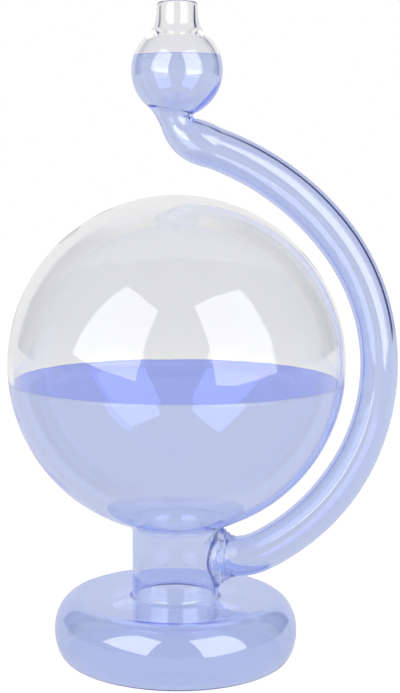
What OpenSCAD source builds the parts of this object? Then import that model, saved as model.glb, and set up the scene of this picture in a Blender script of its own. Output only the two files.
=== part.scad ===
// Weather glass: a sealed globe on a hollow foot, with a curved side arm that
// rises from the neck, sweeps round the globe and ends in a small open bulb.
// All of the glass is flame-worked borosilicate. A tinted liquid fills the foot,
// the neck, the lower half of the globe, the whole arm and most of the bulb.
// X points from the neck towards the arm, Z is up, and Z = 0 is the table.

/* [Foot] */
// Widest diameter of the foot
foot_d = 80.4; // [76:0.2:90]
// Height of the foot
foot_h = 20.4; // [18:0.2:24]
// Height at which the foot is widest
foot_belly_z = 9.4; // [8:0.2:11]
// Diameter of the flat underside that stands on the table
foot_flat_d = 71.6; // [64:0.2:73]
// Diameter of the flat top, inside the rounded shoulder
foot_top_d = 64; // [50:0.5:66]
// Glass thickness of the foot
foot_wall = 1.8; // [1.2:0.1:2.4]

/* [Neck] */
// Outer diameter of the neck tube
neck_d = 28.6; // [26:0.2:32]
// Length of the neck between the foot and the globe
neck_len = 23.8; // [22:0.2:28]
// Glass thickness of the neck
neck_wall = 1.6; // [1.2:0.1:2.2]
// Radius of the fillet where the neck runs into the globe
neck_fillet = 4; // [2:0.5:5]
// Radius of the small fillet where the neck stands on the foot
neck_root_fillet = 1.2; // [0.6:0.2:2]

/* [Globe] */
// Outer diameter of the globe
globe_d = 110; // [104:1:114]
// Glass thickness of the globe
globe_wall = 1.5; // [1:0.1:2]
// How far the liquid stands below the middle of the globe
globe_level_drop = 5; // [0:0.5:20]

/* [Arm] */
// Outer diameter of the arm tube
arm_d = 13.4; // [12.6:0.2:13.6]
// How much slimmer the tube was drawn at its outermost point
arm_slimming = 1.2; // [0:0.1:1.6]
// Glass thickness of the arm tube
arm_wall = 1.5; // [1:0.1:2]
// Height of the arm's root in the side of the neck
arm_root_z = 33.2; // [32:0.2:34]
// Distance from the neck's axis to the end of the arm's straight root
arm_root_reach = 20; // [19:0.5:22]
// Radius of the arm's long bend round the globe
arm_bend_r = 68.4; // [68:0.1:72]
// Distance of the long bend's centre from the neck's axis, away from the arm
arm_bend_back = 2.1; // [1.5:0.1:2.5]
// Distance of the long bend's centre below the middle of the globe
arm_bend_low = 1; // [0.5:0.1:1.5]
// Angle above the horizontal at which the wider top bend starts
arm_top_start = 37; // [34:1:42]
// Radius of the wider top bend
arm_top_r = 88; // [84:1:92]
// Angle above the horizontal at which the top bend ends, at the throat
arm_top_end = 70.2; // [68:0.2:71]

/* [Arm seal] */
// Widest diameter of the collar of glass round the arm's root
seal_d = 21; // [18:0.5:21.5]
// Thickness of the thickest of the ridges that are rolled up on the collar
seal_ridge = 2; // [1.6:0.2:2.4]

/* [Bulb] */
// Outer diameter of the small bulb
bulb_d = 29.2; // [28:0.2:31]
// Glass thickness of the bulb
bulb_wall = 1.4; // [1:0.1:1.8]
// Height of the bulb's middle above the globe's middle
bulb_rise = 94; // [93:0.2:95]
// How far the liquid stands above the middle of the bulb
bulb_level_rise = 4.8; // [-4:0.2:5]

/* [Throat] */
// Outer diameter of the throat where it enters the bulb
throat_d = 10.8; // [10:0.2:11.4]
// Lean of the throat away from upright where it enters the bulb
throat_lean = 17; // [10:1:20]
// Offset of the throat from the bulb's axis, where it reaches the bulb
throat_offset = 0.3; // [0:0.1:1]

/* [Mouth] */
// Outer diameter of the mouth tube above its flare
mouth_d = 14; // [13.4:0.2:15]
// Outer diameter of the mouth tube just below the lip
mouth_lip_d = 13; // [12.6:0.2:13.4]
// Bore of the mouth tube
mouth_bore_d = 10.6; // [9.6:0.2:11]
// Height of the lip above the middle of the bulb
mouth_rise = 21.8; // [20:0.2:24]
// Height of the flare that spreads the mouth tube onto the bulb
mouth_flare = 6.4; // [6:0.1:7]

/* [Hidden] */

$fn = 96;
arc_steps = 14;
flare_steps = 10;
glass_colour = [0.87, 0.89, 0.92, 0.55];
seal_colour = [0.80, 0.84, 0.92, 0.7];
liquid_colour = [0.66, 0.72, 0.91];
// Cutting tools pass this far through the faces that they cut
overshoot = 1;
// Gap left round the two liquids whose level moves
level_gap = 0.15;

foot_r = foot_d / 2;
foot_flat_r = foot_flat_d / 2;
foot_top_r = foot_top_d / 2;
neck_r = neck_d / 2;
neck_bore_r = neck_r - neck_wall;
globe_r = globe_d / 2;
globe_bore_r = globe_r - globe_wall;
globe_z = foot_h + neck_len + sqrt(globe_r * globe_r - neck_r * neck_r);
// Height at which the neck's bore breaks through the inside of the globe
globe_floor_z = globe_z - sqrt(globe_bore_r * globe_bore_r - neck_bore_r * neck_bore_r);
globe_level_z = globe_z - globe_level_drop;

arm_r = arm_d / 2;
arm_bore_r = arm_r - arm_wall;
bend_x = -arm_bend_back;
bend_z = globe_z - arm_bend_low;
// The tight root bend is tangent to the level root and to the long bend
root_sink = arm_bend_r - (bend_z - arm_root_z);
root_span = arm_root_reach - bend_x;
root_lever = (root_sink * root_sink + root_span * root_span) / (2 * root_sink);
root_bend_r = arm_bend_r - root_lever;
root_bend_angle = asin(root_span / root_lever);
top_x = bend_x + (arm_bend_r - arm_top_r) * cos(arm_top_start);
top_z = bend_z + (arm_bend_r - arm_top_r) * sin(arm_top_start);

bulb_r = bulb_d / 2;
bulb_bore_r = bulb_r - bulb_wall;
bulb_z = globe_z + bulb_rise;
bulb_level_z = bulb_z + bulb_level_rise;

// The throat's centre line is one cubic curve from the arm's end to the bulb
throat_wall = arm_wall;
throat_rings = 12;
// Sides of the swept tubes
tube_sides = 24;
throat_start = [top_x + arm_top_r * cos(arm_top_end), top_z + arm_top_r * sin(arm_top_end)];
throat_start_dir = [-sin(arm_top_end), cos(arm_top_end)];
throat_end = [-throat_offset, bulb_z - bulb_r - 0.6];
throat_end_dir = [-sin(throat_lean), cos(throat_lean)];
throat_curve = [throat_start, throat_start + 9 * throat_start_dir,
    throat_end - 5 * throat_end_dir, throat_end];
// The tube swells a little before the elbow and is drawn in below the bulb
throat_radii = [arm_r, arm_r + 1.4, throat_d / 2 - 0.4, throat_d / 2];
throat_bore_r = throat_d / 2 - throat_wall;
// Straight length past the curve that buries the throat's slanted end in the bulb
throat_sink = 5.5;

mouth_r = mouth_d / 2;
mouth_bore_r = mouth_bore_d / 2;
mouth_top_z = bulb_z + mouth_rise;
// The mouth tube sits on the bulb at this height
mouth_seat_z = bulb_z + 9.8;
mouth_seat_bore_r = sqrt(bulb_bore_r * bulb_bore_r - pow(mouth_seat_z - bulb_z, 2));
mouth_seat_r = sqrt(bulb_r * bulb_r - pow(mouth_seat_z - bulb_z, 2));
mouth_flare_z = mouth_seat_z + mouth_flare;
mouth_bore_z = mouth_flare_z - 0.5;
lip_r = (mouth_lip_d / 2 - mouth_bore_r) / 2;
// Each ridge of the collar: its place between the neck and the end of the collar,
// its share of the greatest thickness and its tilt
seal_ridges = [[0.36, 1, -7], [0.6, 0.8, 6], [0.85, 0.45, -5]];

// Centre of the fillet that leads from the neck onto the globe, lifted a little from
// where it would only touch the globe, so that the two cross cleanly
fillet_x = neck_r + neck_fillet;
fillet_z = globe_z - sqrt(pow(globe_r + neck_fillet, 2) - fillet_x * fillet_x) + 0.3;

// Points along an elliptical arc, for profiles in the (radius, height) plane
function arc(cx, cz, a, b, from, to, n = arc_steps) =
    [for (i = [0:n]) let (t = from + (to - from) * i / n) [cx + a * cos(t), cz + b * sin(t)]];

function bezier(p, t) = pow(1 - t, 3) * p[0] + 3 * t * pow(1 - t, 2) * p[1]
    + 3 * t * t * (1 - t) * p[2] + pow(t, 3) * p[3];

function bezier_slope(p, t) = 3 * pow(1 - t, 2) * (p[1] - p[0])
    + 6 * t * (1 - t) * (p[2] - p[1]) + 3 * t * t * (p[3] - p[2]);

// Half section of the foot, or of its hollow when inset by the wall
function foot_profile(inset) = concat(
    [[0, inset]],
    arc(foot_flat_r, foot_belly_z, foot_r - foot_flat_r - inset, foot_belly_z - inset, -90, 0),
    arc(foot_top_r, foot_belly_z, foot_r - foot_top_r - inset,
        foot_h - foot_belly_z - inset, 0, 90),
    [[0, foot_h - inset]]);

// Half section of the solid neck, filleted onto the foot and into the globe
neck_profile = concat(
    [[0, foot_h], [neck_r + neck_root_fillet, foot_h]],
    arc(neck_r + neck_root_fillet, foot_h + neck_root_fillet,
        neck_root_fillet, neck_root_fillet, -90, -180),
    arc(fillet_x, fillet_z, neck_fillet, neck_fillet, 180, 100),
    [[fillet_x, globe_z - globe_r / 2], [0, globe_z - globe_r / 2]]);

// Flare in the (radius, height) plane from a ball's own slope to an upright tube
function flare(foot_at, ball_bore, lead, tail, tube_at) =
    let (slope = asin((foot_at[1] - bulb_z) / ball_bore),
        curve = [foot_at, foot_at + lead * [-sin(slope), cos(slope)],
            tube_at - [0, tail], tube_at])
    [for (i = [0:flare_steps]) bezier(curve, i / flare_steps)];

function backwards(points) = [for (i = [len(points) - 1:-1:0]) points[i]];

// Section of the mouth's wall, from its flared seat to the fire-polished lip
mouth_profile = concat(
    flare([mouth_seat_r, mouth_seat_z], bulb_r, 2.6, 2.9, [mouth_r, mouth_flare_z]),
    arc(mouth_bore_r + lip_r, mouth_top_z - lip_r * 2, lip_r, lip_r * 2, 0, 180),
    backwards(flare([mouth_seat_bore_r, mouth_seat_z], bulb_bore_r, 1.7, 3.6,
        [mouth_bore_r, mouth_bore_z])));

// Outline of the collar in the (radius, length) plane, from inside the neck's wall
collar_len = arm_root_reach - neck_r + 1;
// Length of collar that reaches back to the neck's wall on either side of the arm
collar_skirt = neck_r - 1 - sqrt(neck_r * neck_r - pow(seal_d / 2 + 0.5, 2)) + 0.5;
collar_curve = [[seal_d / 2, 0], [seal_d / 2 - 0.6, collar_len * 0.24],
    [arm_r + 0.2, collar_len * 0.63], [arm_r, collar_len]];

// Stations of a bent tube, each [x, z, heading, radius], one per ring of the sweep
function bend(cx, cz, bend_r, from, to, steps) =
    [for (i = [1:steps]) let (a = from + (to - from) * i / steps)
        [cx + bend_r * cos(a), cz + bend_r * sin(a), a + 90, arm_radius(a + 90)]];

// The tube's outer radius where it heads that many degrees above the horizontal
function arm_radius(heading) = arm_r
    - (abs(heading - 90) < 45 ? arm_slimming / 2 * pow(cos(2 * (heading - 90)), 2) : 0);

// The arm's whole run: level root, tight root bend, long bend, wider top bend
arm_stations = concat(
    [for (x = [neck_bore_r, neck_r + 1, arm_root_reach]) [x, arm_root_z, 0, arm_radius(0)]],
    bend(arm_root_reach, arm_root_z + root_bend_r, root_bend_r, -90, root_bend_angle - 90, 5),
    bend(bend_x, bend_z, arm_bend_r, root_bend_angle - 90, arm_top_start, 28),
    bend(top_x, top_z, arm_top_r, arm_top_start, arm_top_end, 10));

// A station moved along its own heading
function moved(s, by) = [s[0] + by * cos(s[2]), s[1] + by * sin(s[2]), s[2], s[3]];

throat_bend = [for (i = [0:throat_rings])
    let (t = i / throat_rings, c = bezier(throat_curve, t), d = bezier_slope(throat_curve, t))
    [c[0], c[1], atan2(d[1], d[0]), bezier(throat_radii, t)]];
throat_stations = concat(throat_bend, [moved(throat_bend[throat_rings], throat_sink)]);

// The same run with both ends drawn out, for a bore that has to break through
function drawn_out(run) = concat([moved(run[0], -overshoot)],
    [for (i = [1:len(run) - 2]) run[i]], [moved(run[len(run) - 1], overshoot)]);

// Round rod swept through a run of stations, thinner all round by inset
module sweep(run, inset = 0) {
    points = [for (s = run) for (k = [0:tube_sides - 1])
        let (a = 360 * k / tube_sides, r = s[3] - inset)
        [s[0] - sin(s[2]) * r * cos(a), r * sin(a), s[1] + cos(s[2]) * r * cos(a)]];
    last = (len(run) - 1) * tube_sides;
    sides = [for (i = [0:len(run) - 2]) for (k = [0:tube_sides - 1])
        let (a = i * tube_sides + k, b = i * tube_sides + (k + 1) % tube_sides)
        for (face = [[a, b, b + tube_sides], [a, b + tube_sides, a + tube_sides]]) face];
    polyhedron(points, concat(sides,
        [[for (k = [tube_sides - 1:-1:0]) k]],
        [[for (k = [0:tube_sides - 1]) last + k]]));
}

// Straight bore that carries the throat's channel through the wall of the bulb
module throat_bore() {
    translate([throat_end[0], 0, throat_end[1]]) rotate([0, -throat_lean, 0])
        translate([0, 0, -overshoot]) cylinder(r = throat_bore_r, h = throat_sink + overshoot);
}

module at_globe() {
    translate([0, 0, globe_z]) children();
}

module at_bulb() {
    translate([0, 0, bulb_z]) children();
}

// The neck's outside as a solid of revolution that runs on into the globe
module neck_blank() {
    rotate_extrude() polygon(neck_profile);
}

// The same cut to the globe that it is sealed to
module neck_solid() {
    difference() {
        neck_blank();
        at_globe() sphere(r = globe_r);
    }
}

module foot() {
    color(glass_colour) difference() {
        rotate_extrude() polygon(foot_profile(0));
        rotate_extrude() polygon(foot_profile(foot_wall));
        translate([0, 0, foot_h - foot_wall - overshoot])
            cylinder(r = neck_bore_r, h = foot_wall + 2 * overshoot);
    }
}

module neck() {
    color(glass_colour) difference() {
        neck_solid();
        translate([0, 0, foot_h - overshoot]) cylinder(r = neck_bore_r, h = neck_len * 2);
        translate([0, 0, arm_root_z]) rotate([0, 90, 0])
            cylinder(r = arm_bore_r, h = neck_r + neck_fillet);
    }
}

module globe() {
    color(glass_colour) difference() {
        at_globe() sphere(r = globe_r);
        at_globe() sphere(r = globe_bore_r);
        translate([0, 0, foot_h]) cylinder(r = neck_bore_r, h = globe_z - foot_h);
    }
}

module arm() {
    color(glass_colour) difference() {
        sweep(arm_stations);
        sweep(drawn_out(arm_stations), arm_wall);
        neck_solid();
    }
}

// The collar where the arm was melted into the neck, with the ridges rolled up on it
module arm_seal() {
    color(seal_colour) difference() {
        translate([arm_root_reach - collar_len, 0, arm_root_z]) rotate([0, 90, 0]) union() {
            rotate_extrude() polygon(concat(
                [[0, -collar_skirt], [seal_d / 2 + 0.3, -collar_skirt]],
                [for (i = [0:flare_steps]) bezier(collar_curve, i / flare_steps)],
                [[0, collar_len]]));
            for (ridge = seal_ridges) let (thick = seal_ridge * ridge[1],
                on = bezier(collar_curve, ridge[0]))
                translate([0, 0, on[1]]) rotate([0, ridge[2], 0])
                    rotate_extrude() translate([on[0] - thick * 0.3, 0]) circle(d = thick);
        }
        translate([0, 0, arm_root_z]) rotate([0, 90, 0])
            cylinder(r = arm_r, h = arm_root_reach + overshoot);
        neck_blank();
    }
}

module throat() {
    color(glass_colour) difference() {
        sweep(throat_stations);
        sweep(drawn_out(throat_stations), throat_wall);
        at_bulb() sphere(r = bulb_r);
    }
}

module bulb() {
    color(glass_colour) difference() {
        at_bulb() sphere(r = bulb_r);
        at_bulb() sphere(r = bulb_bore_r);
        translate([0, 0, mouth_seat_z]) cylinder(r = bulb_r, h = bulb_r);
        throat_bore();
    }
}

module mouth() {
    color(glass_colour) rotate_extrude() polygon(mouth_profile);
}

module base_liquid() {
    color(liquid_colour) union() {
        rotate_extrude() polygon(foot_profile(foot_wall));
        translate([0, 0, foot_belly_z])
            cylinder(r = neck_bore_r, h = globe_floor_z - foot_belly_z);
    }
}

module globe_liquid() {
    low_z = globe_floor_z + level_gap;
    color(liquid_colour) intersection() {
        at_globe() sphere(r = globe_bore_r - level_gap);
        translate([0, 0, low_z]) cylinder(r = globe_r, h = globe_level_z - low_z);
    }
}

module arm_liquid() {
    color(liquid_colour) difference() {
        sweep(concat([moved(arm_stations[0], -neck_wall)], arm_stations), arm_wall);
        cylinder(r = neck_bore_r, h = globe_z);
    }
}

module throat_liquid() {
    color(liquid_colour) difference() {
        sweep(throat_stations, throat_wall);
        at_bulb() sphere(r = bulb_bore_r);
    }
}

module bulb_liquid() {
    color(liquid_colour) intersection() {
        at_bulb() sphere(r = bulb_bore_r - level_gap);
        translate([0, 0, bulb_z - bulb_r])
            cylinder(r = bulb_r, h = bulb_level_z - bulb_z + bulb_r);
    }
}

foot();
neck();
globe();
arm();
arm_seal();
throat();
bulb();
mouth();
base_liquid();
globe_liquid();
arm_liquid();
throat_liquid();
bulb_liquid();
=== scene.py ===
import math

import bmesh
import bpy
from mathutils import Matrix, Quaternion, Vector


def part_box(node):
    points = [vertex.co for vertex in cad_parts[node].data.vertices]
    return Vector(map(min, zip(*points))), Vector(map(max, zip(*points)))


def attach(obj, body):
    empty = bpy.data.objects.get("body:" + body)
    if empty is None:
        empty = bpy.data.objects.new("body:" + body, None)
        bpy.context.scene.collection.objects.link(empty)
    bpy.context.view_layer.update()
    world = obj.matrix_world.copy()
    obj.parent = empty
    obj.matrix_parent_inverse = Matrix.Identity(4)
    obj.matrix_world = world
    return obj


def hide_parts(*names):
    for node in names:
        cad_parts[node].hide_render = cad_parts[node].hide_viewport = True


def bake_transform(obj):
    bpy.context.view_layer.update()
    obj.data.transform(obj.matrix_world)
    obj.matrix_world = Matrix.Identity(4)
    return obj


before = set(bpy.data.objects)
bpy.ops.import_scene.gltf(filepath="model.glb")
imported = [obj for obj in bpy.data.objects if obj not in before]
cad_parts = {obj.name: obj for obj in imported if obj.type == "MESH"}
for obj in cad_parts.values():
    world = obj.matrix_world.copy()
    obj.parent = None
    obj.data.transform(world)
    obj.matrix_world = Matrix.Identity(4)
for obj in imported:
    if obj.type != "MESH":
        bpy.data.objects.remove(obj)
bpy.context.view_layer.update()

# Camera
# The photo was taken from just under half a metre, level with the top of the globe, looking
# a little down. It is a crop from the right of a wider frame, so the lens is shifted.
mm = 0.001
PHOTO_WIDE, PHOTO_HIGH = 400, 693
# Column of the photo that the lens looks straight at
AXIS_COLUMN = 140
SENSOR_MM = 36
LENS_MM = 73.2
CAMERA_SPOT = (-11.8, -456.8, 155.2)
CAMERA_DIP = 6.5
camera_data = bpy.data.cameras.new("camera")
camera_data.sensor_width = SENSOR_MM
camera_data.lens = LENS_MM
camera_data.shift_x = (PHOTO_WIDE / 2 - AXIS_COLUMN) / PHOTO_HIGH
camera = bpy.data.objects.new("camera", camera_data)
camera.location = Vector(CAMERA_SPOT) * mm
camera.rotation_euler = (math.radians(90 - CAMERA_DIP), 0, 0)
bpy.context.scene.collection.objects.link(camera)
bpy.context.scene.camera = camera
bpy.context.scene.view_settings.view_transform = "Standard"


# Studio
# A white table in a pale room, with a paler backdrop behind it, a navy card upright on
# each side of that, and two softboxes in front. Each softbox leans a little, and shows
# twice in the globe: upright on its front wall and upside down on its back wall.
def tone(code):
    """An sRGB hex colour as the linear colour that shaders take."""
    parts = [int(code[i:i + 2], 16) / 255 for i in (1, 3, 5)]
    linear = [c / 12.92 if c <= 0.04045 else ((c + 0.055) / 1.055) ** 2.4 for c in parts]
    return (*linear, 1.0)


def add(tree, kind, links=None, **settings):
    """One shader node. links gives its inputs, each a value or a socket that feeds it."""
    made = tree.nodes.new("ShaderNode" + kind)
    for name, value in settings.items():
        setattr(made, name, value)
    for name, value in (links or {}).items():
        if isinstance(value, bpy.types.NodeSocket):
            tree.links.new(value, made.inputs[name])
        else:
            made.inputs[name].default_value = value
    return made


def fresh_material(name):
    """A material with nothing in its node tree yet, and that tree."""
    made = bpy.data.materials.new(name)
    made.use_nodes = True
    made.node_tree.nodes.clear()
    return made, made.node_tree


ROOM = tone("#BEBEC0")
BACKDROP = tone("#EAEAEA")
CARD = tone("#061660")
WHITE = tone("#FFFFFF")
# How far off straight back, in degrees, each edge starts to fade and is gone
BACKDROP_EDGE = (48.7, 60.0)
CARD_INNER_EDGE = (43.5, 41.0)
CARD_OUTER_EDGE = (65.2, 68.9)
# The X of a direction at which the card on that side starts and is there in full, and how
# strong the left one is
RIGHT_SIDE = (0.2, 0.4)
LEFT_SIDE = (-0.3, -0.5)
LEFT_STRENGTH = 0.75


def ahead(degrees):
    """The Y of a direction that many degrees off straight back."""
    return math.cos(math.radians(degrees))


world = bpy.data.worlds.new("studio")
world.use_nodes = True
world.node_tree.nodes.clear()
bpy.context.scene.world = world
tree = world.node_tree
heading = add(tree, "SeparateXYZ", {0: add(tree, "TexCoord").outputs["Generated"]})
to_back, to_right = heading.outputs["Y"], heading.outputs["X"]
behind = add(tree, "MapRange", {"Value": to_back, "From Min": ahead(BACKDROP_EDGE[1]),
                                "From Max": ahead(BACKDROP_EDGE[0])})
# The wall of a tube shows what stands this far aside as a line along its bore: with the
# cards there, a dark line.
inner = add(tree, "MapRange", {"Value": to_back, "From Min": ahead(CARD_INNER_EDGE[1]),
                               "From Max": ahead(CARD_INNER_EDGE[0])})
outer = add(tree, "MapRange", {"Value": to_back, "From Min": ahead(CARD_OUTER_EDGE[1]),
                               "From Max": ahead(CARD_OUTER_EDGE[0])})
right = add(tree, "MapRange", {"Value": to_right, "From Min": RIGHT_SIDE[0],
                               "From Max": RIGHT_SIDE[1]})
left = add(tree, "MapRange", {"Value": to_right, "From Min": LEFT_SIDE[0],
                              "From Max": LEFT_SIDE[1], "To Max": LEFT_STRENGTH})
side = add(tree, "Math", {0: right.outputs[0], 1: left.outputs[0]}, operation="ADD")
strip = add(tree, "Math", {0: inner.outputs[0], 1: outer.outputs[0]}, operation="MULTIPLY")
card = add(tree, "Math", {0: strip.outputs[0], 1: side.outputs[0]}, operation="MULTIPLY")
# A Mix node takes its two colours at inputs 6 and 7, and gives the mixed one at output 2.
lit = add(tree, "Mix", {0: behind.outputs[0], 6: ROOM, 7: BACKDROP}, data_type="RGBA")
room = add(tree, "Mix", {0: card.outputs[0], 6: lit.outputs[2], 7: CARD}, data_type="RGBA")
sky = add(tree, "Mix", {0: add(tree, "LightPath").outputs["Is Camera Ray"],
                        6: room.outputs[2], 7: WHITE}, data_type="RGBA")
glow = add(tree, "Background", {"Color": sky.outputs[2], "Strength": 1.0})
add(tree, "OutputWorld", {"Surface": glow.outputs[0]})

# Half the table's width in metres, and the gap that keeps the foot out of its face
TABLE_M = 4.0
TABLE_GAP = 0.08 * mm
table_mesh = bpy.data.meshes.new("table_top")
corners = [(x * TABLE_M, y * TABLE_M, -TABLE_GAP)
           for x, y in ((-1, -1), (1, -1), (1, 1), (-1, 1))]
table_mesh.from_pydata(corners, [], [(0, 1, 2, 3)])
table_top = bpy.data.objects.new("table_top", table_mesh)
bpy.context.scene.collection.objects.link(table_top)
# Matt white laminate. Seen straight it is white and takes the soft shadow of the glass.
# Seen through the glass it has painted shade: a little greyer far behind the piece, standing in
# for dimmer light there, and greyer under and in front of the piece, a painted shadow of it.
# Each pair says where that starts and ends, in metres behind the piece, or how white the table
# is at those two places.
FAR_BACK = (0.5, 1.3)
FAR_SHADE_WHITE = (0.84, 0.78)
NEAR_BACK = (0.0, 0.2)
NEAR_SHADOW_WHITE = (0.93, 1.0)
# How bright it is of itself, before the lamps add to it
OWN_WHITE = 0.93
white_laminate, tree = fresh_material("matt_white_laminate")
path = add(tree, "LightPath")
spot = add(tree, "NewGeometry").outputs["Position"]
depth = add(tree, "SeparateXYZ", {0: spot}).outputs["Y"]
# Painted shade: greyer far behind the piece, where less light would reach
painted_far_shade = add(tree, "MapRange", {"Value": depth,
                                 "From Min": FAR_BACK[0], "From Max": FAR_BACK[1],
                                 "To Min": FAR_SHADE_WHITE[0], "To Max": FAR_SHADE_WHITE[1]})
# Painted shadow of the piece: greyer under and in front of it, gone 0.2 m behind
painted_near_shadow = add(tree, "MapRange", {"Value": depth,
                                  "From Min": NEAR_BACK[0], "From Max": NEAR_BACK[1],
                                  "To Min": NEAR_SHADOW_WHITE[0], "To Max": NEAR_SHADOW_WHITE[1]})
painted_shade = add(tree, "Math", {0: painted_far_shade.outputs[0], 1: painted_near_shadow.outputs[0]},
             operation="MULTIPLY")
through = add(tree, "Emission", {"Color": WHITE, "Strength": painted_shade.outputs[0]})
lift = add(tree, "Emission", {"Color": WHITE, "Strength": OWN_WHITE})
shaded = add(tree, "BsdfDiffuse", {"Color": tone("#909090")})
straight = add(tree, "AddShader", {0: lift.outputs[0], 1: shaded.outputs[0]})
seen = add(tree, "MixShader", {0: path.outputs["Is Camera Ray"], 1: through.outputs[0],
                               2: straight.outputs[0]})
bounced = add(tree, "BsdfDiffuse", {"Color": tone("#E0E0E0")})
laminate = add(tree, "MixShader", {0: path.outputs["Is Diffuse Ray"], 1: seen.outputs[0],
                                   2: bounced.outputs[0]})
add(tree, "OutputMaterial", {"Surface": laminate.outputs[0]})
table_mesh.materials.append(white_laminate)


def bearing(turn, rise):
    """Direction that many degrees right of the front and above the horizon."""
    t, r = math.radians(turn), math.radians(rise)
    return Vector((math.sin(t) * math.cos(r), -math.cos(t) * math.cos(r), math.sin(r)))


# The spot that both softboxes stand round, how far off they are and how bright
GLOBE_MIDDLE = Vector((0, 0, 97.3)) * mm
SOFTBOX_AWAY = 0.9
SOFTBOX_RADIANCE = 2.8
# Each softbox: its side, the bearing it stands at and the one its face is turned to, in
# degrees, how far it leans, and its width and height in metres
for side, stand, face, lean, wide, high in (
        ("left", (-39.7, 31.8), (-56.9, -3.5), -14.6, 0.62, 0.95),
        ("right", (42.0, 26.3), (36.0, 4.4), 9.0, 0.67, 0.96)):
    lamp = bpy.data.lights.new("softbox_" + side, "AREA")
    lamp.shape = "RECTANGLE"
    lamp.size, lamp.size_y = wide, high
    lamp.energy = SOFTBOX_RADIANCE * math.pi * wide * high
    softbox = bpy.data.objects.new("softbox_" + side, lamp)
    softbox.location = GLOBE_MIDDLE + bearing(*stand) * SOFTBOX_AWAY
    upright = bearing(*face).to_track_quat("Z", "Y")
    softbox.rotation_euler = (upright @ Quaternion((0, 0, 1), math.radians(lean))).to_euler()
    bpy.context.scene.collection.objects.link(softbox)

# Light that is caught in a wall runs along it, off one face and then the other, before it
# comes out. With fewer bounces it ends there, as black lines in the foot and the neck.
bpy.context.scene.cycles.max_bounces = 96
bpy.context.scene.cycles.transmission_bounces = 96
bpy.context.scene.cycles.glossy_bounces = 32
bpy.context.scene.cycles.transparent_max_bounces = 16


# Foot
# A hollow puck of borosilicate, blown into a round mould and flattened: a round
# shoulder, a side that bulges at half height and a flat underside to stand on.
# Points in each ring round a tube or a ball
ROUND = 128


def lathe(profile, turn=0.0):
    """Rings of points round the Z axis, one for each [radius, height] of the profile."""
    angles = [turn + 2 * math.pi * k / ROUND for k in range(ROUND)]
    return [[(r * math.cos(a), r * math.sin(a), z) for a in angles] if r > 1e-6
            else [(0, 0, z)] for r, z in profile]


def oval(cx, cz, wide, high, start, end, steps=18):
    """Points along an elliptical arc, in degrees, in the [radius, height] plane."""
    turns = [math.radians(start + (end - start) * i / steps) for i in range(steps + 1)]
    return [(cx + wide * math.cos(t), cz + high * math.sin(t)) for t in turns]


def glass_piece(name, *sheets, open_sheets=()):
    """A mesh from sheets, each a list of rings in millimetres joined ring to ring.
    Open sheets don't close round. Sheets that meet are welded into one skin."""
    bm = bmesh.new()
    for rings, closed in [(s, True) for s in sheets] + [(s, False) for s in open_sheets]:
        rows = [[bm.verts.new(Vector(p) * mm) for p in ring] for ring in rings]
        for low, high in zip(rows, rows[1:]):
            for k in range(max(len(low), len(high)) - (not closed)):
                corner = [low[k % len(low)], low[(k + 1) % len(low)],
                          high[(k + 1) % len(high)], high[k % len(high)]]
                bm.faces.new(list(dict.fromkeys(corner)))
    bmesh.ops.remove_doubles(bm, verts=bm.verts, dist=0.002 * mm)
    mesh = bpy.data.meshes.new(name)
    bm.to_mesh(mesh)
    bm.free()
    mesh.polygons.foreach_set("use_smooth", [True] * len(mesh.polygons))
    piece = bpy.data.objects.new(name, mesh)
    bpy.context.scene.collection.objects.link(piece)
    return piece


# Flame-worked borosilicate is clear and nearly colourless. Its skin is polished by the
# fire but never quite even, so the edges of reflections waver. The faint glow stands for
# the last of the light that runs along the walls, which a render leaves out.
GLASS_IOR = 1.474
RIPPLE_MM = 11.11
RIPPLE_DEPTH_MM = 0.08
GLOW = 0.008
borosilicate, tree = fresh_material("flame_worked_borosilicate")
ripple = add(tree, "TexNoise", {"Vector": add(tree, "TexCoord").outputs["Object"],
                                "Scale": 1 / (RIPPLE_MM * mm), "Detail": 1.5,
                                "Roughness": 0.4})
uneven = add(tree, "Bump", {"Strength": 1.0, "Distance": RIPPLE_DEPTH_MM * mm,
                            "Height": ripple.outputs[0]})
clear = add(tree, "BsdfPrincipled", {
    "Base Color": tone("#FDFDFD"), "Roughness": 0.0, "IOR": GLASS_IOR,
    "Transmission Weight": 1.0, "Emission Color": WHITE, "Emission Strength": GLOW,
    "Normal": uneven.outputs[0]})
add(tree, "OutputMaterial", {"Surface": clear.outputs[0]})


def in_glass(piece, *nodes, body="vessel"):
    """Gives a piece the glass, its body and the solids that it stands for."""
    piece.data.materials.append(borosilicate)
    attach(piece, body)
    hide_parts(*nodes)
    return piece


foot_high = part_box("foot")[1]
foot_r = foot_high.x / mm
foot_h = foot_high.z / mm
# The height at which the side bulges most, and how far out the flat underside and top reach
FOOT_BELLY_Z = 9.4
FOOT_FLAT_R = 35.8
FOOT_TOP_R = 32.0
# Thinner than the solid's, as a thicker wall catches more light and shows black lines
FOOT_WALL = 1.0
NECK_R = 14.3
NECK_WALL = 1.6
NECK_ROOT_FILLET = 1.2
# Width of the narrow ring along the edge of each flat, which keeps its shading flat
FLAT_EDGE = 0.4
neck_bore_r = NECK_R - NECK_WALL
neck_root_r = NECK_R + NECK_ROOT_FILLET
bore_root_r = neck_bore_r + NECK_ROOT_FILLET + FOOT_WALL


def foot_outline(inset, hole_r):
    """Half section of the foot's skin, from the middle of its underside to the neck."""
    flat, top = FOOT_FLAT_R, FOOT_TOP_R
    return [(0, inset), (flat - FLAT_EDGE, inset),
            *oval(flat, FOOT_BELLY_Z, foot_r - flat - inset, FOOT_BELLY_Z - inset, -90, 0),
            *oval(top, FOOT_BELLY_Z, foot_r - top - inset, foot_h - FOOT_BELLY_Z - inset,
                  0, 90)[1:],
            (top - FLAT_EDGE, foot_h - inset), (hole_r + FLAT_EDGE, foot_h - inset),
            (hole_r, foot_h - inset)]


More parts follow.
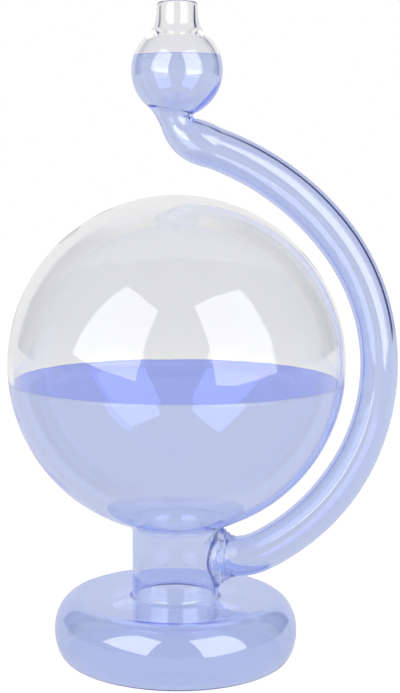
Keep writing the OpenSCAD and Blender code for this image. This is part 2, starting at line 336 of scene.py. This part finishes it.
in_glass(glass_piece("foot_glass", lathe(foot_outline(0, neck_root_r)),
                     lathe(foot_outline(FOOT_WALL, bore_root_r)[::-1])), "foot")


# Globe
# The sealed ball, blown from the same tube as the neck and open only downwards. The air
# above the liquid is trapped in it, and its push is what the instrument shows.
GLOBE_R = 55.0
globe_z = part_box("globe")[1].z / mm - GLOBE_R
GLOBE_WALL = 1.5
NECK_FILLET = 4.0
globe_bore_r = GLOBE_R - GLOBE_WALL


def fillet_onto_ball(tube_r, fillet, ball_r):
    """Centre of the fillet that touches both an upright tube and the globe, how far it
    turns, and the ring where it reaches the globe."""
    centre_r = tube_r + fillet
    drop = math.sqrt((ball_r + fillet) ** 2 - centre_r ** 2)
    turn = math.asin(drop / (ball_r + fillet))
    return (centre_r, globe_z - drop, math.degrees(turn), centre_r - fillet * math.cos(turn))


# The neck's outside and its bore, each as the tube's radius, the fillet's, the fillet's
# centre, how far it turns, and the radius of its ring on the globe
outside = (NECK_R, NECK_FILLET, *fillet_onto_ball(NECK_R, NECK_FILLET, GLOBE_R))
bore_fillet = NECK_FILLET + GLOBE_WALL
bore = (neck_bore_r, bore_fillet, *fillet_onto_ball(neck_bore_r, bore_fillet, globe_bore_r))


def ball_outline(radius, middle_z, from_r, steps=96):
    """Half section of a ball from a ring of that radius low on it up to its top."""
    start = -math.degrees(math.acos(from_r / radius))
    points = oval(0, middle_z, radius, radius, start, 90, steps)
    points[-1] = (0, middle_z + radius)
    return points


in_glass(glass_piece("globe_glass", lathe(ball_outline(GLOBE_R, globe_z, outside[-1])),
                     lathe(ball_outline(globe_bore_r, globe_z, bore[-1])[::-1])), "globe")


# Neck
# A short length of 28 mm tube between the foot and the globe, run into both in the
# flame. Its right side has the hole that the arm is sealed round.
ARM_ROOT_Z = 33.2
SEAL_R = 10.5
SEAL_CLIMB = 0.7
ARM_R = 6.7
ARM_WALL = 1.5
# Rounder than the solid's, which keeps black rings out of the hole's inner edge
BORE_FILLET = 3.0
# The rectangle of the neck's wall round the hole: half its columns, and its rows
PATCH_COLUMNS = 20
PATCH_ROWS = 24
arm_bore_r = ARM_R - ARM_WALL
neck_foot_z = foot_h + NECK_ROOT_FILLET


def neck_side_r(z, side):
    """Radius of the neck's outside or bore at that height, with the fillet at its top."""
    fillet, centre_r, centre_z = side[1:4]
    rise = min(max(z - centre_z, 0.0), fillet)
    return centre_r - math.sqrt(fillet ** 2 - rise ** 2)


def around_arm(radius, x=None, side=outside, k=0):
    """Point k of a ring round the arm's root, at x or else on the neck's wall."""
    a = 2 * math.pi * k / ROUND
    y, z = -radius * math.sin(a), ARM_ROOT_Z + radius * math.cos(a)
    if x is None:
        x = math.sqrt(neck_side_r(z, side) ** 2 - y * y)
    return x, y, z


def spread(start, end, count):
    """Values from start to end, in that many equal steps."""
    return [start + (end - start) * i / count for i in range(count + 1)]


def neck_rows(side):
    """Heights of the rows of points up the neck's side and on round its fillet."""
    fillet, centre_r, centre_z, turn = side[1:5]
    return spread(neck_foot_z, centre_z, PATCH_ROWS // 2)[:-1] + [
        centre_z + fillet * math.sin(math.radians(t)) for t in spread(0, turn, PATCH_ROWS // 2)]


def wall_patch(side, hole):
    """Rings that lead from a rectangle of the neck's wall to the hole for the arm.
    The rectangle's own points fall on the neck's columns and rows."""
    heights = neck_rows(side)
    column = 2 * math.pi / ROUND
    wide = PATCH_COLUMNS * column
    top = [(-i * column, heights[-1]) for i in range(PATCH_COLUMNS)]
    down = [(-wide, z) for z in heights[:0:-1]]
    bottom = [(i * column, heights[0]) for i in range(-PATCH_COLUMNS, PATCH_COLUMNS)]
    up = [(wide, z) for z in heights[:-1]]
    back = [(i * column, heights[-1]) for i in range(PATCH_COLUMNS, 0, -1)]
    starts = top + down + bottom + up + back
    ends = [(math.atan2(y, x), z) for x, y, z in hole]
    rings = []
    for s in spread(0, 1, 8)[:-1]:
        ring = []
        for (t0, z0), (t1, z1) in zip(starts, ends):
            t, z = t0 + (t1 - t0) * s, z0 + (z1 - z0) * s
            r = neck_side_r(z, side)
            ring.append((r * math.cos(t), r * math.sin(t), z))
        rings.append(ring)
    return rings + [hole]


def open_wall(side):
    """The rest of the neck's wall, as rows that leave the rectangle free."""
    angles = [2 * math.pi * k / ROUND for k in range(PATCH_COLUMNS, ROUND - PATCH_COLUMNS + 1)]
    return [[(neck_side_r(z, side) * math.cos(a), neck_side_r(z, side) * math.sin(a), z)
             for a in angles] for z in neck_rows(side)]


def seal_r(k):
    """Radius of the collar's root. It runs a little further up, onto the globe."""
    return SEAL_R + SEAL_CLIMB * (0.5 + 0.5 * math.cos(2 * math.pi * k / ROUND)) ** 4


outer_hole = [around_arm(seal_r(k), k=k) for k in range(ROUND)]
bore_hole = [around_arm(arm_bore_r + BORE_FILLET, side=bore, k=k) for k in range(ROUND)]
root_fillet = oval(neck_root_r, neck_foot_z, NECK_ROOT_FILLET, NECK_ROOT_FILLET, 270, 180, 10)
bore_root = oval(bore_root_r, neck_foot_z, NECK_ROOT_FILLET + FOOT_WALL,
                 NECK_ROOT_FILLET + FOOT_WALL, 270, 180, 14)
in_glass(glass_piece(
    "neck_glass", lathe(root_fillet), wall_patch(outside, outer_hole),
    lathe(bore_root[::-1]), wall_patch(bore, bore_hole)[::-1],
    open_sheets=(open_wall(outside), open_wall(bore)[::-1])), "neck")


# Arm seal
# The collar of glass where the arm was melted into the neck. The seam was worked over
# in the flame several times, and kept a rolled ridge and fine wrinkles round the tube.
ARM_ROOT_REACH = 20.0
SEAL_STEPS = 76
# The collar's radius just off the neck, how far off that is, and its radius half way
FLARE_R = 9.4
FLARE_LEAD = 0.25
WAIST_R = 7.3
# How far along the collar a wrinkle wanders and shivers on its way round the tube, how
# many shivers it makes, how much of its height it keeps and gains there, and how far its
# crest leans towards the arm
WANDER, SHIVER = 0.045, 0.012
SHIVERS = 7
KEPT, GAINED = 0.75, 0.35
CREST_LEAN = 0.4
# Each wrinkle: how far along the collar it lies and how wide it is, as shares of the
# collar's length, its height in mm, how many waves it makes, and where they start
WRINKLES = ((0.13, 0.03, 0.14, 2, 3.0), (0.22, 0.035, 0.20, 3, 0.4), (0.31, 0.04, -0.26, 2, 1.9),
            (0.38, 0.022, 0.16, 3, 5.1), (0.45, 0.04, 0.40, 2, 0.7), (0.51, 0.024, -0.18, 2, 0.2),
            (0.57, 0.03, -0.26, 3, 2.6), (0.62, 0.024, 0.18, 3, 1.1), (0.68, 0.04, 0.32, 1, 4.0),
            (0.75, 0.026, -0.14, 2, 2.2), (0.82, 0.04, -0.12, 4, 1.2))


def curve3(points, t):
    """Point on a cubic curve with these four control points."""
    a, b, c, d = (Vector(p) for p in points)
    s = 1 - t
    return s ** 3 * a + 3 * t * s * s * b + 3 * t * t * s * c + t ** 3 * d


def collar_ring(s):
    """Ring of the collar at share s of its length. Its flare is steep at the neck."""
    ring = []
    for k in range(ROUND):
        a = 2 * math.pi * k / ROUND
        root = around_arm(seal_r(k), k=k)
        reach = ARM_ROOT_REACH - root[0]
        along = around_arm(FLARE_R, k=k)
        point = curve3((root, (along[0] + FLARE_LEAD, *along[1:]),
                        around_arm(WAIST_R, x=root[0] + 0.5 * reach, k=k),
                        around_arm(ARM_R, x=ARM_ROOT_REACH, k=k)), s)
        outward = Vector((CREST_LEAN, -math.sin(a), math.cos(a))).normalized()
        for place, width, height, waves, start in WRINKLES:
            here = (place + WANDER * math.sin(waves * a + start)
                    + SHIVER * math.sin(SHIVERS * a + 2 * start))
            swell = height * (KEPT + GAINED * math.sin((waves + 1) * a + 3 * start))
            point += outward * swell * math.exp(-((s - here) / width) ** 2)
        ring.append(tuple(point))
    return ring


bore_corner = []
for s in spread(0, 1, 6):
    ring = []
    for k in range(ROUND):
        wall = Vector(around_arm(arm_bore_r + BORE_FILLET, side=bore, k=k))
        corner = Vector(around_arm(arm_bore_r, side=bore, k=k))
        further = Vector(around_arm(arm_bore_r, x=corner.x + BORE_FILLET, k=k))
        ring.append(tuple((1 - s) ** 2 * wall + 2 * s * (1 - s) * corner + s * s * further))
    bore_corner.append(ring)
bore_end = [around_arm(arm_bore_r, x=ARM_ROOT_REACH, k=k) for k in range(ROUND)]
in_glass(glass_piece("arm_seal_glass", [collar_ring(s) for s in spread(0, 1, SEAL_STEPS)],
                     (bore_corner + [bore_end])[::-1]), "arm_seal")


# Arm
# 13 mm tube, bent by hand in the flame: a tight bend up from the root, a long bend that
# keeps a few millimetres off the globe, and a wider bend over its top.
# How much thinner the tube is where it stands upright than at its ends
ARM_SLIMMING = 1.2
# The long bend's radius, and how far its centre lies behind and below the globe's middle
ARM_BEND_R = 68.4
ARM_BEND_BACK = 2.1
ARM_BEND_LOW = 1.0
# The wider bend's radius, and where it starts and ends, in degrees above the horizontal
ARM_TOP_R = 88.0
ARM_TOP_START = 37.0
ARM_TOP_END = 70.2
bend_x, bend_z = -ARM_BEND_BACK, globe_z - ARM_BEND_LOW
# The tight bend at the root is tangent to the level root and to the long bend.
root_sink = ARM_BEND_R - (bend_z - ARM_ROOT_Z)
root_span = ARM_ROOT_REACH - bend_x
root_lever = (root_sink ** 2 + root_span ** 2) / (2 * root_sink)
root_bend_r = ARM_BEND_R - root_lever
root_bend_turn = math.degrees(math.asin(root_span / root_lever))
top_x = bend_x + (ARM_BEND_R - ARM_TOP_R) * math.cos(math.radians(ARM_TOP_START))
top_z = bend_z + (ARM_BEND_R - ARM_TOP_R) * math.sin(math.radians(ARM_TOP_START))


def arm_radius(way):
    """Radius of the arm where it heads that many degrees above the horizontal."""
    if abs(way - 90) > 45:
        return ARM_R
    return ARM_R - ARM_SLIMMING / 2 * math.cos(math.radians(2 * (way - 90))) ** 2


def bend(cx, cz, bend_r, start, end, steps):
    """Stations along a bend, each (x, z, heading in degrees, radius of the tube)."""
    return [(cx + bend_r * math.cos(math.radians(t)), cz + bend_r * math.sin(math.radians(t)),
             t + 90, arm_radius(t + 90)) for t in spread(start, end, steps)]


def tube(stations, inset=0.0):
    """Rings of a round tube through stations that lie in the XZ plane."""
    rings = []
    for x, z, way, radius in stations:
        r = radius - inset
        up_x, up_z = -math.sin(math.radians(way)), math.cos(math.radians(way))
        rings.append([(x + up_x * r * math.cos(a), -r * math.sin(a), z + up_z * r * math.cos(a))
                      for a in (2 * math.pi * k / ROUND for k in range(ROUND))])
    return rings


arm_run = (bend(ARM_ROOT_REACH, ARM_ROOT_Z + root_bend_r, root_bend_r,
                -90, root_bend_turn - 90, 16)
           + bend(bend_x, bend_z, ARM_BEND_R, root_bend_turn - 90, ARM_TOP_START, 84)[1:]
           + bend(top_x, top_z, ARM_TOP_R, ARM_TOP_START, ARM_TOP_END, 32)[1:])
in_glass(glass_piece("arm_glass", tube(arm_run), tube(arm_run, ARM_WALL)[::-1]), "arm")


# Throat
# The end of the arm, swollen a little by the heat, then drawn in and turned up sharply
# where the bulb was blown on it. It runs into the bulb wide on the left, tight on the right.
BULB_R = 14.6
# A little thinner than the solid's, so that the dark line stays out of the bulb's sides
BULB_WALL = 1.2
bulb_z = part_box("bulb")[0].z / mm + BULB_R
bulb_bore_r = BULB_R - BULB_WALL
# The throat's radius at the bulb, and how much it swells and is drawn in on the way there
THROAT_R = 5.4
THROAT_SWELL = 1.4
THROAT_DRAWN_IN = 0.4
# How many degrees its end leans off upright, and how far that lies left of the bulb's
# axis and below the bulb
THROAT_LEAN = 17
THROAT_OFFSET = 0.3
THROAT_DROP = 0.6
# How far the curve runs straight on from the arm, and straight in to the bulb
START_LEAD, END_LEAD = 9, 5
# Share of the throat's length where its flare onto the bulb starts
THROAT_CUT = 0.86
throat_start = Vector(arm_run[-1][:2])
throat_end = Vector((-THROAT_OFFSET, bulb_z - BULB_R - THROAT_DROP))
start_way = math.radians(arm_run[-1][2])
end_way = math.radians(90 + THROAT_LEAN)
start_dir = Vector((math.cos(start_way), math.sin(start_way)))
end_dir = Vector((math.cos(end_way), math.sin(end_way)))
throat_curve = (throat_start, throat_start + START_LEAD * start_dir,
                throat_end - END_LEAD * end_dir, throat_end)
throat_radii = (ARM_R, ARM_R + THROAT_SWELL, THROAT_R - THROAT_DRAWN_IN, THROAT_R)


def throat_station(t):
    """Station on the throat's cubic centre line."""
    a, b, c, d = throat_curve
    s = 1 - t
    spot = s ** 3 * a + 3 * t * s * s * b + 3 * t * t * s * c + t ** 3 * d
    slope = s * s * (b - a) + 2 * t * s * (c - b) + t * t * (d - c)
    r = throat_radii
    radius = s ** 3 * r[0] + 3 * t * s * s * r[1] + 3 * t * t * s * r[2] + t ** 3 * r[3]
    return spot.x, spot.y, math.degrees(math.atan2(slope.y, slope.x)), radius


def onto_bulb(point, ball_r):
    """Where a line from the point along the throat's end meets the ball of the bulb."""
    middle = Vector((0, 0, bulb_z))
    along = Vector((end_dir.x, 0, end_dir.y))
    away = Vector(point) - middle
    past = away.dot(along)
    chord = math.sqrt(past ** 2 - away.length_squared + ball_r ** 2)
    return Vector(point) - along * (past + chord)


def bulb_ring(ball_r, degrees):
    """Ring round the bulb at that height above its middle, in the throat's point order."""
    r, z = ball_r * math.cos(math.radians(degrees)), ball_r * math.sin(math.radians(degrees))
    return [(-r * math.cos(a), -r * math.sin(a), bulb_z + z)
            for a in (2 * math.pi * k / ROUND for k in range(ROUND))]


def along_ball(start, end, share):
    """Point on the bulb part of the way from start to end, round its middle."""
    middle = Vector((0, 0, bulb_z))
    a, b = Vector(start) - middle, Vector(end) - middle
    return middle + a.normalized().slerp(b.normalized(), share) * a.length


# Ring low on the bulb that the throat's flare runs out to, in degrees above the middle
BULB_WAIST = -38


def throat_mouth(ball_r, inset, left_reach, right_reach):
    """The rings in which the throat flares onto the ball, and its ring on the ball."""
    before = tube([throat_station(THROAT_CUT)], inset)[0]
    last = tube([throat_station(1.0)], inset)[0]
    waist = bulb_ring(ball_r, BULB_WAIST)
    joins, lands = [], []
    for k in range(ROUND):
        join = onto_bulb(last[k], ball_r)
        leftness = (1 + math.cos(2 * math.pi * k / ROUND)) / 2
        reach = right_reach + (left_reach - right_reach) * leftness
        way = (Vector(waist[k]) - join).length
        joins.append(join)
        lands.append(along_ball(join, waist[k], min(reach / way, 0.8)))
    flare = []
    for s in spread(0, 1, 12):
        flare.append([tuple((1 - s) ** 2 * Vector(before[k]) + 2 * s * (1 - s) * joins[k]
                            + s * s * lands[k]) for k in range(ROUND)])
    return flare, lands


def throat_rings(ball_r, inset, left_reach, right_reach):
    """The throat's rings from the arm on, with its flare, and its last ring on the ball."""
    flare, lands = throat_mouth(ball_r, inset, left_reach, right_reach)
    stations = [throat_station(t) for t in spread(0, THROAT_CUT, 26)]
    return tube(stations, inset) + flare[1:], lands


# How far the flare spreads over the bulb on the left and on the right
OUTER_REACH = (5.0, 1.2)
INNER_REACH = (4.2, 1.0)
throat_skin, outer_lands = throat_rings(BULB_R, 0, *OUTER_REACH)
throat_bore, inner_lands = throat_rings(bulb_bore_r, ARM_WALL, *INNER_REACH)
in_glass(glass_piece("throat_glass", throat_skin, throat_bore[::-1]), "throat")


# Bulb
# A small ball blown at the end of the throat, right over the middle of the globe. It blew
# out thin, but glass stayed gathered low on the right, inside the turn of the throat.
SEAT_RISE = 9.8
# How much thicker the wall is there, how far round the ball in degrees above the middle,
# and how many degrees away it has thinned out again
THICKER = 0.4
THICKEST_RISE = -42
THICKEST_REACH = 36


def bulb_rings(ball_r, lands, top_degrees):
    """From the throat's flare over the ball's waist up to the ring at that height."""
    waist = bulb_ring(ball_r, BULB_WAIST)
    low = [[tuple(along_ball(lands[k], waist[k], s)) for k in range(ROUND)]
           for s in spread(0, 1, 12)]
    return low + [bulb_ring(ball_r, t) for t in spread(BULB_WAIST, top_degrees, 40)[1:]]


def gathered(rings):
    """Moves a ring's points in where the wall is thick, low on the bulb's right."""
    middle, thickest = Vector((0, 0, bulb_z)), bearing(90, THICKEST_RISE)
    moved = []
    for ring in rings:
        moved.append([])
        for point in ring:
            away = Vector(point) - middle
            apart = math.degrees(away.angle(thickest)) / THICKEST_REACH
            share = (1 - min(apart, 1.0) ** 2) ** 2
            moved[-1].append(tuple(Vector(point) - away.normalized() * THICKER * share))
    return moved


outer_top = math.degrees(math.asin(SEAT_RISE / BULB_R))
inner_top = math.degrees(math.asin(SEAT_RISE / bulb_bore_r))
in_glass(glass_piece("bulb_glass", bulb_rings(BULB_R, outer_lands, outer_top),
                     gathered(bulb_rings(bulb_bore_r, inner_lands, inner_top))[::-1]), "bulb")


# Mouth
# The open end, left when the bulb was cut from its blowpipe: a short tube that flares
# onto the bulb and whose rim was rounded over in the flame.
MOUTH_R = 7.0
MOUTH_LIP_R = 6.5
MOUTH_BORE_R = 5.3
# How high the flare is outside and in the bore, and how far each runs straight on at the
# bulb and at the tube
SKIRT_H, SKIRT_LEAD, SKIRT_TAIL = 6.4, 2.6, 2.9
BORE_SKIRT_H, BORE_SKIRT_LEAD, BORE_SKIRT_TAIL = 5.9, 1.7, 3.6
mouth_top_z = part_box("mouth")[1].z / mm
seat_z = bulb_z + SEAT_RISE
seat_r = BULB_R * math.cos(math.radians(outer_top))
seat_bore_r = bulb_bore_r * math.cos(math.radians(inner_top))
LIP_R = (MOUTH_LIP_R - MOUTH_BORE_R) / 2


def flare_outline(radius, height, lean_degrees, tube_r, tube_z, lead, tail):
    """Half section that leaves a ball along its own slope and ends as an upright tube. It
    runs straight on for its lead at the ball, and for its tail at the tube."""
    lean = math.radians(lean_degrees)
    points = ((radius, height), (radius - lead * math.sin(lean), height + lead * math.cos(lean)),
              (tube_r, tube_z - tail), (tube_r, tube_z))
    return [tuple(curve3([(*p, 0) for p in points], t))[:2] for t in spread(0, 1, 20)]


skirt = flare_outline(seat_r, seat_z, outer_top, MOUTH_R,
                      seat_z + SKIRT_H, SKIRT_LEAD, SKIRT_TAIL)
bore_skirt = flare_outline(seat_bore_r, seat_z, inner_top, MOUTH_BORE_R,
                           seat_z + BORE_SKIRT_H, BORE_SKIRT_LEAD, BORE_SKIRT_TAIL)
lip = oval(MOUTH_BORE_R + LIP_R, mouth_top_z - 2 * LIP_R, LIP_R, 2 * LIP_R, 0, 180, 20)
mouth_outline = skirt + lip + bore_skirt[::-1]
in_glass(glass_piece("mouth_glass", lathe(mouth_outline, turn=math.pi)), "mouth")


# Tinted liquid
# Water with a little dye, poured in through the mouth: one body in the foot, neck and
# globe, and one in the arm, throat and bulb. It wets the glass, so no air shows between
# them, and it creeps a little up the wall round its free surface.
# The dye tints the skin and not the depth, as the photo shows the thin arm as blue as the
# deep globe. The photo's liquid also bends what lies behind it hardly at all, so its index
# is close to that of air, far below water's 1.33. The clear coat gives back the
# reflections of the softboxes that so low an index takes away.
LIQUID_IOR = 1.01
COAT_IOR = 1.6
dyed_water, tree = fresh_material("dyed_water")
blue = add(tree, "BsdfPrincipled", {
    "Base Color": tone("#CCD8FE"), "Roughness": 0.0, "IOR": LIQUID_IOR,
    "Transmission Weight": 1.0,
    "Coat Weight": 1.0, "Coat Roughness": 0.0, "Coat IOR": COAT_IOR})
add(tree, "OutputMaterial", {"Surface": blue.outputs[0]})
# The free surface is seen along its length, through the most water: deeper blue.
water_surface, tree = fresh_material("dyed_water_free_surface")
deep = add(tree, "BsdfPrincipled", {
    "Base Color": tone("#8092FF"), "Roughness": 0.0, "IOR": LIQUID_IOR,
    "Transmission Weight": 1.0})
add(tree, "OutputMaterial", {"Surface": deep.outputs[0]})
# In the foot the water is wide, and stands on the table: a step deeper, partly for the wider
# water and partly as painted shade, where the foot sits low in the shadow on the table.
water_in_foot_painted_shade, tree = fresh_material("dyed_water_in_foot")
wide = add(tree, "BsdfPrincipled", {
    "Base Color": tone("#C0CFFF"), "Roughness": 0.0, "IOR": LIQUID_IOR,
    "Transmission Weight": 1.0,
    "Coat Weight": 1.0, "Coat Roughness": 0.0, "Coat IOR": COAT_IOR})
add(tree, "OutputMaterial", {"Surface": wide.outputs[0]})
# How far the liquid's skin lies inside the glass, how high and how far in from the wall
# its wet edge reaches, and how quickly that falls
WETTING = 0.12
EDGE_CLIMB = 0.15
EDGE_REACH = 0.5
EDGE_FALL = 2.2
globe_level_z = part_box("globe_liquid")[1].z / mm
bulb_level_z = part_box("bulb_liquid")[1].z / mm


def surface_outline(ball_r, middle_z, level_z):
    """The free surface from the top of its wet edge in to the middle."""
    edge_z = level_z + EDGE_CLIMB
    edge_r = math.sqrt(ball_r ** 2 - (edge_z - middle_z) ** 2)
    shares = [0, 0.1, 0.22, 0.36, 0.5, 0.75, 1.0, 1.4, 2.0, 2.8, 4.0]
    points = [(edge_r - s * EDGE_REACH, level_z + EDGE_CLIMB * math.exp(-EDGE_FALL * s))
              for s in shares]
    return points + [(r, level_z) for r in spread(points[-1][0] - 1.0, 0, 4)]


def in_water(piece, level_z):
    """Gives a stretch of liquid its dyed skin, the foot its deeper skin with painted shade, and
    the free surface its own.
    """
    for skin in (dyed_water, water_surface, water_in_foot_painted_shade):
        piece.data.materials.append(skin)
    foot_top = foot_h - FOOT_WALL + WETTING
    for face in piece.data.polygons:
        # Faces low in the foot take the deeper skin with painted shade
        if face.center.z / mm < foot_top + 0.01:
            face.material_index = 2
        if face.normal.z > 0.9 and abs(face.center.z / mm - level_z) < EDGE_CLIMB:
            face.material_index = 1


wet_ball_r = globe_bore_r + WETTING
wet_neck_r = neck_bore_r + WETTING
wet_root = NECK_ROOT_FILLET + FOOT_WALL - WETTING
wet_fillet = bore_fillet - WETTING
_, wet_z, wet_turn, wet_root_r = fillet_onto_ball(wet_neck_r, wet_fillet, wet_ball_r)
root_turn = -math.degrees(math.acos(wet_root_r / wet_ball_r))
edge_turn = math.degrees(math.asin((globe_level_z + EDGE_CLIMB - globe_z) / wet_ball_r))
base_profile = (foot_outline(FOOT_WALL - WETTING, wet_neck_r + wet_root)
                + oval(wet_neck_r + wet_root, neck_foot_z, wet_root, wet_root, 270, 180, 14)[1:]
                + [(wet_neck_r, z) for z in spread(neck_foot_z, wet_z, 16)[1:-1]]
                + oval(wet_neck_r + wet_fillet, wet_z, wet_fillet, wet_fillet,
                       180, 180 - wet_turn, 14)
                + oval(0, globe_z, wet_ball_r, wet_ball_r, root_turn, edge_turn, 60)[1:]
                + surface_outline(wet_ball_r, globe_z, globe_level_z)[1:])
globe_liquid = glass_piece("liquid_in_globe", lathe(base_profile))
in_water(globe_liquid, globe_level_z)
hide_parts("base_liquid", "globe_liquid")
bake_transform(globe_liquid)

wet_bulb_r = bulb_bore_r + WETTING
bulb_edge_turn = math.degrees(math.asin((bulb_level_z + EDGE_CLIMB - bulb_z) / wet_bulb_r))
wet_throat, wet_lands = throat_rings(wet_bulb_r, ARM_WALL - WETTING, *INNER_REACH)
# The arm's liquid starts as a flat end just inside the liquid in the neck.
ROOT_CAP_X = 11.4
root_run = [(x, ARM_ROOT_Z, 0, ARM_R) for x in spread(ROOT_CAP_X, ARM_ROOT_REACH, 6)[:-1]]
wet_arm = tube(root_run + arm_run, ARM_WALL - WETTING)
bulb_surface = lathe(surface_outline(wet_bulb_r, bulb_z, bulb_level_z)[1:], turn=math.pi)
arm_liquid = glass_piece(
    "liquid_in_arm", [[(ROOT_CAP_X, 0, ARM_ROOT_Z)]] + wet_arm + wet_throat[1:]
    + gathered(bulb_rings(wet_bulb_r, wet_lands, bulb_edge_turn))[1:] + bulb_surface)
in_water(arm_liquid, bulb_level_z)
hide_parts("arm_liquid", "throat_liquid", "bulb_liquid")
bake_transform(arm_liquid)
